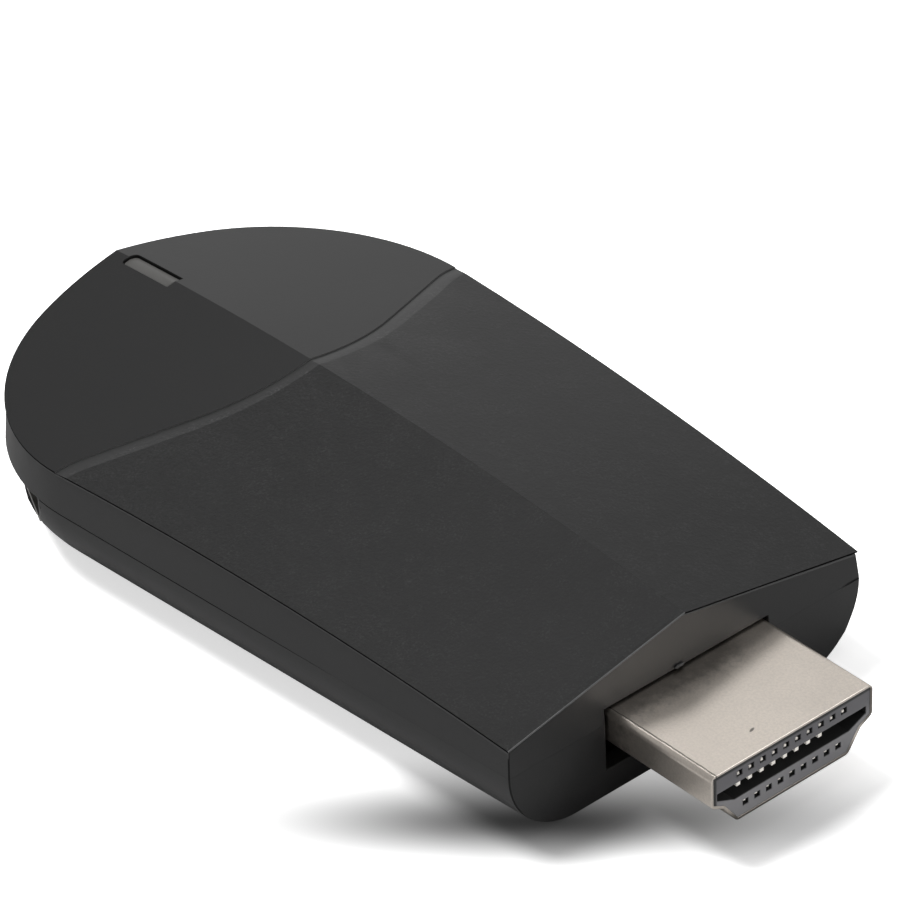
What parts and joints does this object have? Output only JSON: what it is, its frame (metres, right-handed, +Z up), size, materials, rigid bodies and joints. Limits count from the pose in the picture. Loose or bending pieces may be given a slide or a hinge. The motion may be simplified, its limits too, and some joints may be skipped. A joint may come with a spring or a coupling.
{
  "type": "wireless display adapter",
  "caption": "Flat pocket adapter with an arched faceted top and a rounded end, a video plug on its front, a power inlet in a corner and a small side button.",
  "frame": {"origin": "middle of the bounding box in plan, on the flat base that it lies on", "axes": "+X from the rounded rear end to the video plug, +Y to the side with the button, +Z up from the flat base to the ridge of the top"},
  "size_m": [0.0666, 0.0354, 0.0121],
  "materials": {
    "shell_plastic": "fine matt",
    "cover_plastic": "fine sparkling texture",
    "lens": "frosted translucent",
    "board": "solder mask",
    "steel": "nickel plated",
    "plug_metal": "warm nickel plating",
    "insulator": "moulded",
    "contact_metal": "gold flash",
    "chip": "moulded epoxy",
    "pad": "soft thermal pad",
    "aluminium": "plain",
    "ceramic": "fired ceramic",
    "button_plastic": "fine matt",
    "white_plastic": "moulded"
  },
  "bodies": {
    "housing": {"lower_shell": "shell_plastic", "side_frame": "shell_plastic", "top_cover": "cover_plastic", "light_pipe": "lens", "main_board": "board", "board_screws": "steel", "video_plug_shell": "plug_metal", "video_plug_insert": "insulator", "video_plug_contacts_upper": "contact_metal", "video_plug_contacts_lower": "contact_metal", "power_socket_shell": "steel", "power_socket_tongue": "insulator", "power_socket_contacts": "contact_metal", "switch_body": "insulator", "main_processor": "chip", "thermal_pad": "pad", "processor_shield": "steel", "heat_spreader": "aluminium", "memory_chip": "chip", "flash_chip": "chip", "radio_module": "board", "radio_shield": "steel", "regulator_chip": "chip", "power_inductors": "chip", "bulk_capacitor": "ceramic", "crystal": "steel", "indicator_lamp": "white_plastic", "chip_antennas": "ceramic", "chip_capacitors": "ceramic", "signal_filters": "ceramic"},
    "button": {"side_button": "button_plastic", "switch_plunger": "insulator"}
  },
  "joints": [
    {"name": "button_press", "type": "slide", "parent": "housing", "child": "button", "axis": [-0.0605, -0.9982, 0], "range_m": [0, 0.0003], "stiffness_N_per_m": 5000}
  ]
}
